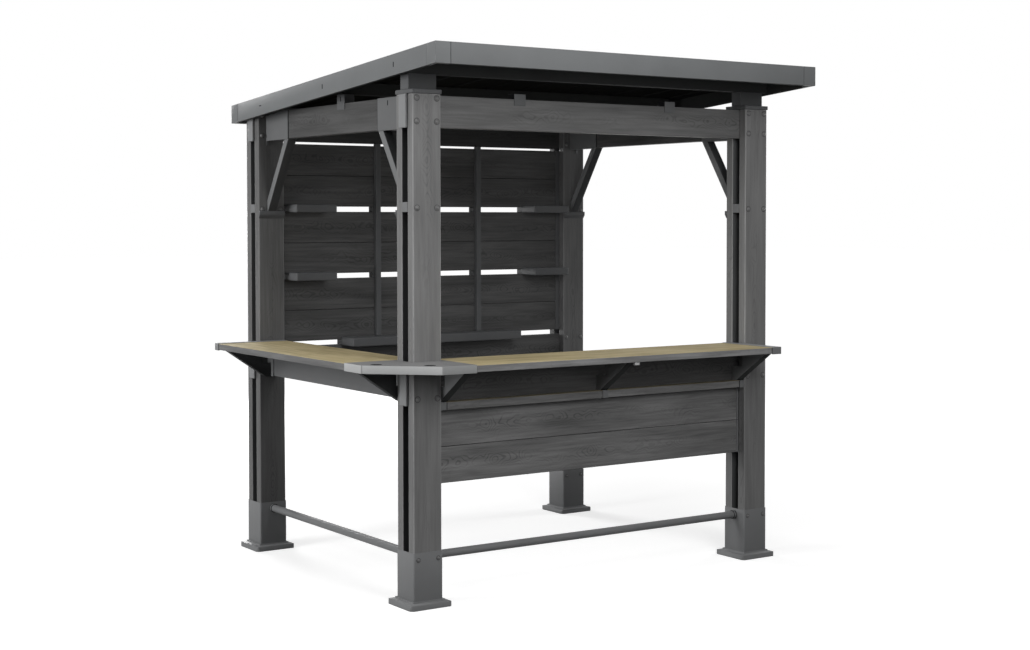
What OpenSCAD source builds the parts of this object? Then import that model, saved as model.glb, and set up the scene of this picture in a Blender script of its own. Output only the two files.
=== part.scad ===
// Bar gazebo: four twin-plank posts, a sloping roof, serving counters on two sides and a boarded back wall.
// Millimetres, +Z up. The front runs along X and faces -Y; the floor is z = 0 and the plan is centred.

/* [Posts] */
// Left posts to right posts, like edge to like edge
post_pitch_x = 1879; // [1760:1:2000]
// Front posts to back posts, like edge to like edge
post_pitch_y = 1556; // [1500:1:1640]
// Width of a post along the front
post_w = 139; // [130:1:150]
// Depth of a post from front to back
post_d = 143; // [138:1:150]
// Thickness of each of the two planks of a post
plank_t = 48; // [46:1:50]
// Radius of the upright edges of a plank
plank_r = 4; // [2:1:6]
// Height of the post tops
post_top = 2222; // [2200:1:2240]
// Thickness of the plate over each post
post_cap_t = 19; // [14:1:24]
// How far the plate stands out round the post
post_cap_out = 4; // [2:1:8]
// Bottom of the spacer between the planks, at the brace feet
spacer_z = 1714; // [1700:1:1730]
// Height of that spacer
spacer_h = 43; // [36:1:50]

/* [Boots] */
// Height of the base plate under a post
boot_base_h = 32; // [26:1:38]
// Height of the side of the base plate
boot_edge_h = 22; // [16:1:25]
// How far the base plate stands out round the post at the floor
boot_base_out = 36; // [30:1:42]
// How far its sides lean in up to their upper edge
boot_flare = 5; // [3:1:8]
// How far the raised step round the sleeve stands out from the post
boot_step_out = 9; // [6:1:14]
// Height of that step
boot_step_h = 5; // [3:1:6]
// Corner radius of the base plate
boot_base_r = 22; // [16:1:28]
// Height of the top of the boot sleeve
boot_top = 242; // [236:1:260]
// Thickness of the boot sleeve
boot_t = 3; // [2:0.5:5]

/* [Beams] */
// Height of the beams
beam_h = 140; // [130:1:150]
// How far the beam tops lie below the post tops
beam_drop = 2; // [1:1:6]
// Length of the sleeve at each end of a side beam
sleeve_l = 248; // [240:1:260]
// Wall of the sleeves and saddle clips
sleeve_t = 3; // [2:0.5:4]
// Drop of the sleeve's fixing tab below the beam
tab_drop = 25; // [18:1:30]
// Width of the fixing tab
tab_w = 14; // [10:1:18]
// Length of the caps over board ends outside the posts
end_cap_l = 13; // [10:1:16]
// How far those caps lap over the planks at each side
end_cap_lap = 7; // [5:1:10]
// How far those caps reach below the board
end_cap_drop = 4; // [2:1:6]

/* [Knee braces] */
// Height of the brace feet
brace_foot_z = 1723; // [1710:1:1740]
// Height of the brace's inner corner at the post
brace_heel_h = 54; // [46:1:60]
// Width of the brace's flat top
brace_top_l = 46; // [40:1:52]
// Reach of the brace along the beam
brace_reach = 247; // [230:1:260]
// Toe of the brace on its foot bracket
brace_toe = 10; // [8:1:12]
// Height of the foot bracket
foot_h = 38; // [34:1:44]
// How far the foot bracket stands off the post
foot_out = 13; // [12:1:18]

/* [Roof] */
// How far the roof reaches past the posts at the front
roof_front = 285; // [270:1:300]
// How far it reaches past them at the back
roof_back = 57; // [50:1:70]
// How far it reaches past them at each side
roof_side = 56; // [50:1:70]
// Height of the back rail at its rear edge, under the sheet
back_rail_h = 7; // [5:0.5:12]
// Fall of the roof for each millimetre towards the back
roof_slope = 0.0765; // [0.072:0.0005:0.079]
// Height of the roof's edge boards
fascia_h = 91; // [84:1:98]
// Thickness of the edge boards
fascia_t = 20; // [16:1:24]
// Length of each leg of a roof corner
corner_leg = 72; // [66:1:82]
// How far a roof corner stands out past the edge boards
corner_out = 1; // [0.5:0.5:2]
// Roof line to the underside of the sheet
sheet_drop = 21; // [20:0.5:24]
// Thickness of the flat of the sheet
sheet_t = 4; // [3:0.5:5]
// Height of the ribs above the flat
rib_h = 14; // [10:0.5:15]
// Spacing of the ribs
rib_pitch = 190; // [170:1:210]
// Width of a rib at its foot
rib_w = 40; // [30:1:50]
// Height of the riser blocks on the front posts
riser_h = 69; // [64:1:74]
// Depth of the front rail
front_rail_d = 57; // [50:1:64]
// Depth of the riser blocks
riser_d = 71; // [66:1:80]
// Middle of the cross rail, from the front of the front posts
cross_rail_y = 745; // [700:1:790]
// Width of the cross rail
cross_rail_d = 46; // [40:1:52]
// Height of the side clips above the beam, where the cross rail rests
side_clip_up = 42; // [36:1:48]
// Length of a side clip
side_clip_l = 74; // [66:1:82]
// Length of a front clip
front_clip_l = 62; // [56:1:70]
// Height of a front clip above the beam
front_clip_up = 23; // [18:1:28]
// Reach of the clips down the beam
clip_down = 29; // [24:1:36]
// Front clips from the post middles
front_clip_inset = 510; // [470:1:550]

/* [Counters] */
// Height of the counter tops
counter_top = 1067; // [1050:1:1080]
// Thickness of the counter tops
counter_t = 30; // [26:1:34]
// How far the counters reach outside the posts
counter_out = 252; // [242:1:262]
// How far they reach inside from the outer post faces
counter_in = 119; // [112:1:126]
// How far the light trims stand proud of the counter
trim_out = 2; // [1:0.5:3]
// How far their lip reaches below the counter
lip_h = 3; // [2:0.5:4]
// Width of that lip
lip_w = 8; // [6:1:12]
// Corner piece past the near post, on the front counter
corner_past_x = 26; // [20:1:32]
// Corner piece past the near post, on the side counter
corner_past_y = 12; // [8:1:20]
// Length of the corner's slanting cut along each edge
corner_cut = 250; // [230:1:260]
// Length of the light end of the front counter
front_end_l = 55; // [50:1:60]
// How far the front counter laps the right post
front_end_lap = 10; // [6:1:14]
// Length of the light end of the side counter
side_end_l = 41; // [36:1:46]
// Room between the side counter and the back post
side_end_gap = 30; // [20:1:36]

/* [Gussets] */
// Gap between the gussets and the ledge below them
gusset_gap = 0; // [0:1:8]
// Reach of the gussets outside the posts
gusset_reach = 199; // [190:1:210]
// How far inside the post face the sloping edge starts
gusset_foot = 16; // [10:1:22]
// Height of the gusset at its inner end
gusset_tail_h = 70; // [60:1:76]
// Outer edge of the cut above the tail of the front gussets, outside the post
front_gusset_notch = 27; // [22:1:34]
// The same cut in the side gussets
side_gusset_notch = 4; // [2:1:8]
// Width of the gussets
gusset_w = 40; // [34:1:46]
// Metal thickness of the gussets
gusset_t = 3; // [2:0.5:4]
// Length of the clip under the joint in the front counter
joint_clip_l = 27; // [22:1:34]
// Depth of that clip from front to back
joint_clip_d = 18; // [14:1:24]
// Height of that clip
joint_clip_h = 14; // [10:1:18]
// How far the clip lies behind the counter's edge
joint_clip_in = 3; // [1:1:6]

/* [Lower front] */
// Height of the front board under the counter
front_apron_h = 157; // [150:1:164]
// Height of the side board under the counter
side_apron_h = 145; // [142:1:152]
// Length of the bracket at each end of the side board
apron_bracket_l = 66; // [60:1:72]
// Height of the ledge
ledge_h = 36; // [30:1:42]
// How far the ledge laps up the front board
ledge_lap = 8; // [5:1:11]
// How far the ledge front lies behind the post front
ledge_in = 3; // [2:1:6]
// Length of each light end of the ledge
ledge_end_l = 29; // [24:1:34]
// Height of each lower front board
lower_board_h = 160; // [150:1:165]
// Gap between the ledge and the lower boards
lower_gap = 4; // [2:1:8]
// Gap between the two lower boards
lower_seam = 2; // [1:1:4]
// Length of the trims at the lower boards' ends
lower_trim_l = 10; // [8:1:14]
// Diameter of the foot rails
rail_dia = 36; // [32:1:40]
// Height of the middle of the foot rails
rail_z = 211; // [205:1:213]
// Diameter of the collars at the rail ends
collar_dia = 50; // [46:1:56]
// Length of those collars
collar_l = 14; // [10:1:18]

/* [Back wall] */
// Top of the lowest wall board
wall_z = 1024; // [1010:1:1040]
// Height of the lowest wall board
wall_bottom_h = 148; // [140:1:156]
// Seam between the boards of a pair
wall_seam = 1; // [0.5:0.5:2]
// Gap under each pair of boards
wall_gap = 27; // [22:0.5:32]
// Gap between the wall and the beam
wall_top_gap = 12; // [8:1:16]
// Length of the trims at the wall boards' ends
wall_trim_l = 23; // [18:1:28]
// Thickness of the end trims past the face of the boards
board_trim_out = 2; // [1:0.5:3]
// Spacing of the two battens
batten_pitch = 626; // [590:1:660]
// Width of a batten
batten_w = 28; // [24:1:32]
// Depth of a batten
batten_d = 30; // [26:1:34]
// Width of the tie blocks behind the battens
tie_w = 38; // [32:1:44]

/* [Shelves] */
// Depth of the shelves
shelf_d = 137; // [128:1:146]
// Thickness of the corner shelves
shelf_t = 41; // [37:1:45]
// Length of the corner shelves
shelf_l = 230; // [220:1:245]
// Room between a post and its corner shelf
shelf_inset = 27; // [23:1:34]
// Length of the low shelf
low_shelf_l = 1046; // [1000:1:1090]
// Thickness of the low shelf
low_shelf_t = 45; // [41:1:49]
// How far shelves reach below the gap they hang in
shelf_below = 4; // [2:1:6]

/* [Hidden] */
$fn = 48;
// Clearance where one piece passes inside another
fit = 0.3;
// Boards that run between the two planks of a post
board_t = post_d - 2 * plank_t - 2 * fit;
board_y0 = plank_t + fit;
board_y1 = post_d - plank_t - fit;
board_x0 = (post_w - board_t) / 2;
board_x1 = (post_w + board_t) / 2;
// Outer faces of the posts and middle of the post plan
plan_x = post_pitch_x + post_w;
plan_y = post_pitch_y + post_d;
// Middle of the whole plan, which stands over the origin
left_x = -counter_out - trim_out;
right_x = plan_x + roof_side;
front_y = -roof_front;
back_y = plan_y + roof_back;
mid_x = (left_x + right_x) / 2;
mid_y = (front_y + back_y) / 2;
// Heights that follow from the sizes above
beam_z1 = post_top - beam_drop;
beam_z0 = beam_z1 - beam_h;
counter_z = counter_top - counter_t;
front_apron_z = counter_z - front_apron_h;
ledge_z1 = front_apron_z + ledge_lap;
ledge_z0 = ledge_z1 - ledge_h;
gusset_z = ledge_z1 + gusset_gap;
lower_z1 = ledge_z0 - lower_gap;
lower_z0 = lower_z1 - 2 * lower_board_h - lower_seam;
pair_step = (beam_z0 - wall_top_gap - wall_z) / 3;
pair_h = pair_step - wall_gap;
wall_board_h = (pair_h - wall_seam) / 2;
wall_y0 = post_pitch_y + board_y0;
wall_y1 = post_pitch_y + board_y1;
batten_z0 = wall_z - shelf_below + low_shelf_t;
// Height of the roof line at its front edge
roof_rise = roof_slope * (wall_y1 + roof_front);
roof_top = post_top + post_cap_t + back_rail_h + sheet_drop + roof_rise;

// Height of the roof line over a point y behind the front post faces
function roof_z(y) = roof_top - roof_slope * (y + roof_front);

// Moves the post plan so that the whole plan is centred on the origin
module placed() {
    translate([-mid_x, -mid_y, 0]) children();
}

module block(x0, x1, y0, y1, z0, z1) {
    translate([x0, y0, z0]) cube([x1 - x0, y1 - y0, z1 - z0]);
}

module both_sides() {
    children();
    translate([plan_x, 0, 0]) mirror([1, 0, 0]) children();
}

module both_ends() {
    children();
    translate([0, plan_y, 0]) mirror([0, 1, 0]) children();
}

// Rectangle with round corners, from its lower left corner
module round_rect(x, y, r) {
    translate([r, 0]) square([x - 2 * r, y]);
    translate([0, r]) square([x, y - 2 * r]);
    for (i = [r, x - r], j = [r, y - r])
        translate([i, j]) circle(r = r);
}

// Profile in y and z, drawn out along x
module along_x(x0, x1) {
    translate([x0, 0, 0]) rotate([90, 0, 90]) linear_extrude(x1 - x0) children();
}

// Profile in x and z, drawn out along y
module along_y(y0, y1) {
    translate([0, y1, 0]) rotate([90, 0, 0]) linear_extrude(y1 - y0) children();
}

module post() {
    for (y = [0, post_d - plank_t])
        translate([0, y, boot_base_h])
            linear_extrude(post_top - boot_base_h) round_rect(post_w, plank_t, plank_r);
}

module front_left_post() {
    color("dimgray") placed() post();
}

module front_right_post() {
    color("dimgray") placed() translate([post_pitch_x, 0, 0]) post();
}

module back_left_post() {
    color("dimgray") placed() translate([0, post_pitch_y, 0]) post();
}

module back_right_post() {
    color("dimgray") placed() translate([post_pitch_x, post_pitch_y, 0]) post();
}

module boot_sleeve() {
    translate([-boot_t, -boot_t, boot_base_h])
        linear_extrude(boot_top - boot_base_h)
            difference() {
                round_rect(post_w + 2 * boot_t, post_d + 2 * boot_t, plank_r + boot_t);
                translate([boot_t - fit, boot_t - fit])
                    square([post_w + 2 * fit, post_d + 2 * fit]);
            }
}

module boot_sleeves() {
    color("silver") placed() both_sides() both_ends() boot_sleeve();
}

// The base plate from the side: leaning edges, a sloping top and a step round the sleeve
module base_profile(w) {
    polygon([
        [-boot_base_out, 0],
        [w + boot_base_out, 0],
        [w + boot_base_out - boot_flare, boot_edge_h],
        [w + boot_step_out, boot_base_h - boot_step_h],
        [w + boot_step_out, boot_base_h],
        [-boot_step_out, boot_base_h],
        [-boot_step_out, boot_base_h - boot_step_h],
        [boot_flare - boot_base_out, boot_edge_h]
    ]);
}

module boot_base() {
    w = post_w + 2 * boot_base_out;
    d = post_d + 2 * boot_base_out;
    intersection() {
        translate([-boot_base_out, -boot_base_out, 0])
            linear_extrude(boot_base_h) round_rect(w, d, boot_base_r);
        along_y(-boot_base_out, post_d + boot_base_out) base_profile(post_w);
        along_x(-boot_base_out, post_w + boot_base_out) base_profile(post_d);
    }
}

module boot_bases() {
    color("silver") placed() both_sides() both_ends() boot_base();
}

module post_spacers() {
    color("dimgray") placed() both_sides() both_ends()
        block(0, post_w, board_y0, board_y1, spacer_z, spacer_z + spacer_h);
}

module post_caps() {
    w = post_w + 2 * post_cap_out;
    d = post_d + 2 * post_cap_out;
    color("silver") placed() both_sides() both_ends()
        translate([-post_cap_out, -post_cap_out, post_top])
            linear_extrude(post_cap_t) round_rect(w, d, plank_r);
}

module roof_risers() {
    z = post_top + post_cap_t;
    color("silver") placed() both_sides()
        block(0, post_w, (post_d - riser_d) / 2, (post_d + riser_d) / 2, z, z + riser_h);
}

module front_beam() {
    color("gray") placed() block(0, plan_x, board_y0, board_y1, beam_z0, beam_z1);
}

module back_beam() {
    color("gray") placed() block(0, plan_x, wall_y0, wall_y1, beam_z0, beam_z1);
}

module side_beams() {
    color("gray") placed() both_sides()
        block(board_x0, board_x1, post_d, post_pitch_y, beam_z0, beam_z1);
}

module beam_bracket() {
    x0 = board_x0 - sleeve_t;
    x1 = board_x1 + sleeve_t;
    difference() {
        block(x0, x1, post_d, post_d + sleeve_l, beam_z0 - sleeve_t, post_top);
        block(board_x0 - fit, board_x1 + fit, post_d - 1, post_d + sleeve_l + 1,
            beam_z0 - fit, beam_z1 + fit);
    }
    block(x0, x0 + tab_w, post_d, post_d + sleeve_t, beam_z0 - tab_drop, beam_z0 - sleeve_t);
}

module beam_brackets() {
    color("silver") placed() both_sides() both_ends() beam_bracket();
}

module board_end_cap(y, z0, z1) {
    block(-end_cap_l, 0, y + board_y0 - end_cap_lap, y + board_y1 + end_cap_lap, z0, z1);
}

module board_end_caps() {
    color("silver") placed() both_sides() {
        board_end_cap(0, beam_z0 - end_cap_drop, post_top);
        board_end_cap(post_pitch_y, beam_z0 - end_cap_drop, post_top);
        board_end_cap(0, front_apron_z - end_cap_drop, counter_z - end_cap_drop);
        board_end_cap(post_pitch_y, wall_z - wall_bottom_h - end_cap_drop, wall_z + end_cap_drop);
    }
}

module knee_brace() {
    z = beam_z0 - sleeve_t;
    along_x(board_x0, board_x1)
        polygon([
            [post_d, brace_foot_z],
            [post_d + brace_toe, brace_foot_z],
            [post_d + brace_reach, z],
            [post_d + brace_reach - brace_top_l, z],
            [post_d, brace_foot_z + brace_heel_h]
        ]);
}

module knee_braces() {
    color("gray") placed() both_sides() both_ends() knee_brace();
}

module brace_foot_bracket() {
    along_x(0, post_w)
        polygon([
            [post_d, brace_foot_z],
            [post_d, brace_foot_z - foot_h],
            [post_d + foot_out, brace_foot_z - foot_h / 2],
            [post_d + foot_out, brace_foot_z]
        ]);
}

module brace_foot_brackets() {
    color("silver") placed() both_sides() both_ends() brace_foot_bracket();
}

// Profile under the roof line from y0 to y1, its top and bottom that far below it
module under_roof(y0, y1, top, bottom) {
    polygon([
        [y0, roof_z(y0) - bottom],
        [y1, roof_z(y1) - bottom],
        [y1, roof_z(y1) - top],
        [y0, roof_z(y0) - top]
    ]);
}

// Profile under the roof sheet from y0 to y1, standing on a level bottom
module under_sheet(y0, y1, z0) {
    polygon([
        [y0, z0],
        [y1, z0],
        [y1, roof_z(y1) - sheet_drop],
        [y0, roof_z(y0) - sheet_drop]
    ]);
}

module sheet_rib() {
    polygon([
        [-rib_w / 2, -1],
        [rib_w / 2, -1],
        [rib_w / 4, rib_h],
        [-rib_w / 4, rib_h]
    ]);
}

module roof_sheet() {
    x0 = fascia_t - roof_side;
    x1 = right_x - fascia_t;
    y0 = front_y + fascia_t;
    y1 = back_y - fascia_t;
    n = floor((x1 - x0 - rib_w) / rib_pitch / 2);
    color("dimgray") placed() {
        along_x(x0, x1) under_roof(y0, y1, sheet_drop - sheet_t, sheet_drop);
        intersection() {
            translate([plan_x / 2, 0, roof_z(0) - sheet_drop + sheet_t])
                rotate([-atan(roof_slope), 0, 0])
                    for (i = [-n : n])
                        translate([i * rib_pitch, 0, 0])
                            along_y(y0 - rib_w, y1 + rib_w) sheet_rib();
            block(x0, x1, y0, y1, 0, roof_top);
        }
    }
}

module fascia_boards() {
    cut = corner_leg + corner_out;
    out = corner_out;
    color("gray") placed() {
        along_x(cut - roof_side, right_x - cut) {
            under_roof(front_y + out, front_y + fascia_t, 0, fascia_h);
            under_roof(back_y - fascia_t, back_y - out, 0, fascia_h);
        }
        both_sides()
            along_x(out - roof_side, fascia_t - roof_side)
                under_roof(front_y + cut, back_y - cut, 0, fascia_h);
    }
}

module fascia_corner(y0, y1, inner_y0, inner_y1) {
    difference() {
        along_x(-roof_side, corner_leg + corner_out - roof_side) under_roof(y0, y1, 0, fascia_h);
        block(fascia_t - roof_side, plan_x, inner_y0, inner_y1, 0, roof_top + 1);
    }
}

module fascia_corners() {
    leg = corner_leg + corner_out;
    color("silver") placed() both_sides() {
        fascia_corner(front_y, front_y + leg, front_y + fascia_t, front_y + leg + 1);
        fascia_corner(back_y - leg, back_y, back_y - leg - 1, back_y - fascia_t);
    }
}

module front_roof_rail() {
    y0 = (post_d - front_rail_d) / 2;
    color("gray") placed()
        along_x(fascia_t - roof_side, right_x - fascia_t)
            under_sheet(y0, y0 + front_rail_d, post_top + post_cap_t + riser_h);
}

module cross_rail() {
    y0 = cross_rail_y - cross_rail_d / 2;
    color("gray") placed()
        along_x(board_x0 - sleeve_t, plan_x - board_x0 + sleeve_t)
            under_sheet(y0, y0 + cross_rail_d, beam_z1 + side_clip_up);
}

module back_roof_rail() {
    color("gray") placed()
        along_x(fascia_t - roof_side, right_x - fascia_t)
            under_sheet(wall_y0, wall_y1, post_top + post_cap_t);
}

// Saddle over the top of a board, from x0 to x1 and y0 to y1 across the board
module side_clip() {
    y0 = cross_rail_y - side_clip_l / 2;
    difference() {
        block(board_x0 - sleeve_t, board_x1 + sleeve_t, y0, y0 + side_clip_l,
            beam_z1 - clip_down, beam_z1 + side_clip_up);
        block(board_x0 - fit, board_x1 + fit, y0 - 1, y0 + side_clip_l + 1,
            beam_z0, beam_z1);
    }
}

module front_clip() {
    x0 = post_w / 2 + front_clip_inset - front_clip_l / 2;
    difference() {
        block(x0, x0 + front_clip_l, board_y0 - sleeve_t, board_y1 + sleeve_t,
            beam_z1 - clip_down, beam_z1 + front_clip_up);
        block(x0 - 1, x0 + front_clip_l + 1, board_y0 - fit, board_y1 + fit,
            beam_z0, beam_z1);
    }
}

module beam_clips() {
    color("silver") placed() both_sides() {
        side_clip();
        front_clip();
    }
}

module front_counter_top() {
    x0 = post_w + corner_past_x;
    x1 = post_pitch_x + front_end_lap - front_end_l;
    color("tan") placed() block(x0, x1, -counter_out, counter_in, counter_z, counter_top);
}

module side_counter_top() {
    y0 = post_d + corner_past_y;
    y1 = post_pitch_y - side_end_gap - side_end_l;
    color("tan") placed() block(-counter_out, counter_in, y0, y1, counter_z, counter_top);
}

module counter_corner() {
    o = counter_out + trim_out;
    x1 = post_w + corner_past_x;
    y1 = post_d + corner_past_y;
    z1 = counter_top + trim_out;
    // Inner end of the lip beside the slanting cut
    lip_cut = corner_cut - o + lip_w * (sqrt(2) - 1);
    color("silver") placed() {
        difference() {
            union() {
                block(-o, x1, -o, counter_in, counter_z, z1);
                block(-o, counter_in, -o, y1, counter_z, z1);
            }
            block(-fit, post_w + fit, -fit, post_d + fit, counter_z - 1, z1 + 1);
            translate([0, 0, counter_z - 1])
                linear_extrude(z1 - counter_z + 2)
                    polygon([[-o - 1, -o - 1], [corner_cut - o, -o - 1], [corner_cut - o, -o],
                        [-o, corner_cut - o], [-o - 1, corner_cut - o]]);
        }
        translate([0, 0, counter_z - lip_h])
            linear_extrude(lip_h)
                polygon([[-o, y1], [-o, corner_cut - o], [corner_cut - o, -o], [x1, -o],
                    [x1, lip_w - o], [lip_cut, lip_w - o], [lip_w - o, lip_cut], [lip_w - o, y1]]);
    }
}

module counter_ends() {
    o = counter_out + trim_out;
    x1 = post_pitch_x + front_end_lap;
    y1 = post_pitch_y - side_end_gap;
    z1 = counter_top + trim_out;
    color("silver") placed() {
        difference() {
            block(x1 - front_end_l, x1, -o, counter_in, counter_z, z1);
            block(post_pitch_x - fit, x1 + 1, -fit, post_d, counter_z - 1, z1 + 1);
        }
        block(x1 - front_end_l, x1, -o, lip_w - o, counter_z - lip_h, counter_z);
        block(-o, counter_in, y1 - side_end_l, y1, counter_z, z1);
        block(-o, lip_w - o, y1 - side_end_l, y1, counter_z - lip_h, counter_z);
    }
}

// Side of a gusset whose tail rests against a board at that depth
module gusset_side(depth, notch) {
    polygon([
        [depth, gusset_z],
        [gusset_foot, gusset_z],
        [-gusset_reach, counter_z - gusset_t],
        [-gusset_reach, counter_z],
        [-notch, counter_z],
        [-notch, gusset_z + gusset_tail_h],
        [depth, gusset_z + gusset_tail_h]
    ]);
}

// The folded edge along the slope
module gusset_fold() {
    polygon([
        [gusset_foot, gusset_z],
        [-gusset_reach, counter_z - gusset_t],
        [-gusset_reach, counter_z],
        [gusset_foot, gusset_z + gusset_t]
    ]);
}

module side_gusset(y) {
    along_y(y, y + gusset_t) gusset_side(board_x0, side_gusset_notch);
    along_y(y, y + gusset_w) gusset_fold();
}

module side_gussets() {
    color("silver") placed() {
        side_gusset(post_d);
        side_gusset(post_pitch_y - gusset_w);
    }
}

module front_gusset(x) {
    translate([x + gusset_w, 0, 0]) rotate([0, 0, 90]) {
        along_y(gusset_w - gusset_t, gusset_w) gusset_side(board_y0, front_gusset_notch);
        along_y(0, gusset_w) gusset_fold();
    }
}

module front_gussets() {
    color("silver") placed()
        for (x = [post_w, plan_x / 2 - gusset_t, post_pitch_x - gusset_w])
            front_gusset(x);
}

module counter_joint_clip() {
    x0 = plan_x / 2 - gusset_t;
    y0 = joint_clip_in - counter_out;
    color("silver") placed()
        block(x0, x0 + joint_clip_l, y0, y0 + joint_clip_d, counter_z - joint_clip_h, counter_z);
}

module front_apron() {
    color("dimgray") placed() block(0, plan_x, board_y0, board_y1, front_apron_z, counter_z);
}

module side_apron() {
    color("dimgray") placed()
        block(board_x0, board_x1, post_d, post_pitch_y, counter_z - side_apron_h, counter_z);
}

module apron_bracket() {
    z0 = counter_z - side_apron_h;
    difference() {
        block(board_x0 - sleeve_t, board_x1 + sleeve_t, post_d, post_d + apron_bracket_l,
            z0 - sleeve_t, counter_z);
        block(board_x0 - fit, board_x1 + fit, post_d - 1, post_d + apron_bracket_l + 1,
            z0 - fit, counter_z + 1);
    }
}

module apron_brackets() {
    color("silver") placed() both_ends() apron_bracket();
}

module front_ledge() {
    x0 = post_w + ledge_end_l;
    color("dimgray") placed() block(x0, plan_x - x0, ledge_in, board_y0, ledge_z0, ledge_z1);
}

module ledge_ends() {
    color("silver") placed() both_sides()
        block(post_w, post_w + ledge_end_l, ledge_in, board_y0, ledge_z0, ledge_z1);
}

module lower_front_boards() {
    x0 = post_w + lower_trim_l;
    color("dimgray") placed()
        for (i = [0, 1])
            translate([0, 0, i * (lower_board_h + lower_seam)])
                block(x0, plan_x - x0, board_y0, board_y1, lower_z0, lower_z0 + lower_board_h);
}

module lower_board_trims() {
    o = board_trim_out;
    color("silver") placed() both_sides()
        for (i = [0, 1])
            translate([0, 0, i * (lower_board_h + lower_seam)])
                block(post_w, post_w + lower_trim_l, board_y0 - o, board_y1 + o,
                    lower_z0, lower_z0 + lower_board_h);
}

module front_tube(x0, x1, dia) {
    translate([x0, post_d / 2, rail_z]) rotate([0, 90, 0]) cylinder(d = dia, h = x1 - x0);
}

module side_tube(y0, y1, dia) {
    translate([post_w / 2, y1, rail_z]) rotate([90, 0, 0]) cylinder(d = dia, h = y1 - y0);
}

module foot_rails() {
    color("silver") placed() {
        front_tube(post_w + boot_t, post_pitch_x - boot_t, rail_dia);
        side_tube(post_d + boot_t, post_pitch_y - boot_t, rail_dia);
    }
}

module rail_collars() {
    x0 = post_w + boot_t;
    y0 = post_d + boot_t;
    color("silver") placed() {
        both_sides() difference() {
            front_tube(x0, x0 + collar_l, collar_dia);
            front_tube(x0 - 1, x0 + collar_l + 1, rail_dia + 2 * fit);
        }
        both_ends() difference() {
            side_tube(y0, y0 + collar_l, collar_dia);
            side_tube(y0 - 1, y0 + collar_l + 1, rail_dia + 2 * fit);
        }
    }
}

module wall_boards() {
    x0 = post_w + wall_trim_l;
    color("dimgray") placed() {
        block(0, plan_x, wall_y0, wall_y1, wall_z - wall_bottom_h, wall_z);
        for (i = [0 : 2], j = [0, 1])
            translate([0, 0, wall_z + wall_gap + i * pair_step + j * (wall_board_h + wall_seam)])
                block(x0, plan_x - x0, wall_y0, wall_y1, 0, wall_board_h);
    }
}

module wall_board_trims() {
    o = board_trim_out;
    color("silver") placed() both_sides()
        for (i = [0 : 2])
            translate([0, 0, wall_z + wall_gap + i * pair_step])
                block(post_w, post_w + wall_trim_l, wall_y0 - o, wall_y1 + o, 0, pair_h);
}

module wall_battens() {
    color("gray") placed() both_sides()
        translate([(plan_x - batten_pitch - batten_w) / 2, wall_y0 - batten_d, 0])
            block(0, batten_w, 0, batten_d, batten_z0, beam_z0);
}

module batten_ties() {
    color("gray") placed()
        for (i = [1, 2], s = [-1, 1])
            translate([(plan_x + s * batten_pitch - tie_w) / 2, 0, 0])
                block(0, tie_w, wall_y0, wall_y1, wall_z + i * pair_step,
                    wall_z + i * pair_step + wall_gap);
}

// Shelf with a tongue in the wall gap that starts at height z
module shelf(x0, x1, z, t) {
    block(x0, x1, wall_y0 - shelf_d, wall_y0, z - shelf_below, z - shelf_below + t);
    block(x0, x1, wall_y0 - 1, wall_y1, z, z + wall_gap - fit);
}

module corner_shelves() {
    x0 = post_w + shelf_inset;
    color("silver") placed() both_sides()
        for (i = [1, 2])
            shelf(x0, x0 + shelf_l, wall_z + i * pair_step, shelf_t);
}

module low_shelf() {
    x0 = (plan_x - low_shelf_l) / 2;
    color("silver") placed() shelf(x0, x0 + low_shelf_l, wall_z, low_shelf_t);
}

front_left_post();
front_right_post();
back_left_post();
back_right_post();
boot_sleeves();
boot_bases();
post_spacers();
post_caps();
roof_risers();
front_beam();
back_beam();
side_beams();
beam_brackets();
board_end_caps();
knee_braces();
brace_foot_brackets();
roof_sheet();
fascia_boards();
fascia_corners();
front_roof_rail();
cross_rail();
back_roof_rail();
beam_clips();
front_counter_top();
side_counter_top();
counter_corner();
counter_ends();
front_gussets();
side_gussets();
counter_joint_clip();
front_apron();
side_apron();
apron_brackets();
front_ledge();
ledge_ends();
lower_front_boards();
lower_board_trims();
foot_rails();
rail_collars();
wall_boards();
wall_board_trims();
wall_battens();
batten_ties();
corner_shelves();
low_shelf();
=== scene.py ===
import math

import bmesh
import bpy
import numpy as np
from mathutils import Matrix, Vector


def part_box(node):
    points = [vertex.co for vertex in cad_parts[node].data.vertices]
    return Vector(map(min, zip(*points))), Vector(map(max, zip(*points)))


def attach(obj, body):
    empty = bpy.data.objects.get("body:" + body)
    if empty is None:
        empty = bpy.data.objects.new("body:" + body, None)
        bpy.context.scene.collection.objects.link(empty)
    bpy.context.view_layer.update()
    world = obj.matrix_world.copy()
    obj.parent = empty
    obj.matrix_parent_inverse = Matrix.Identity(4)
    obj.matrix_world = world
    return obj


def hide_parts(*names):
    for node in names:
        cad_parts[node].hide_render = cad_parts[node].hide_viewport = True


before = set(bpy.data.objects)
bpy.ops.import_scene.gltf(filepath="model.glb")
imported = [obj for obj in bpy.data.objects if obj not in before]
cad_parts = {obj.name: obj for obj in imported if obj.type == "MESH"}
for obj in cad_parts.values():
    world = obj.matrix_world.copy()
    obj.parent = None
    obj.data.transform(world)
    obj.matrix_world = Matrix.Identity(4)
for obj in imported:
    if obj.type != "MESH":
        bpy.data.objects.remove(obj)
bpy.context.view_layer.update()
print("stage: frame loaded")


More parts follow.
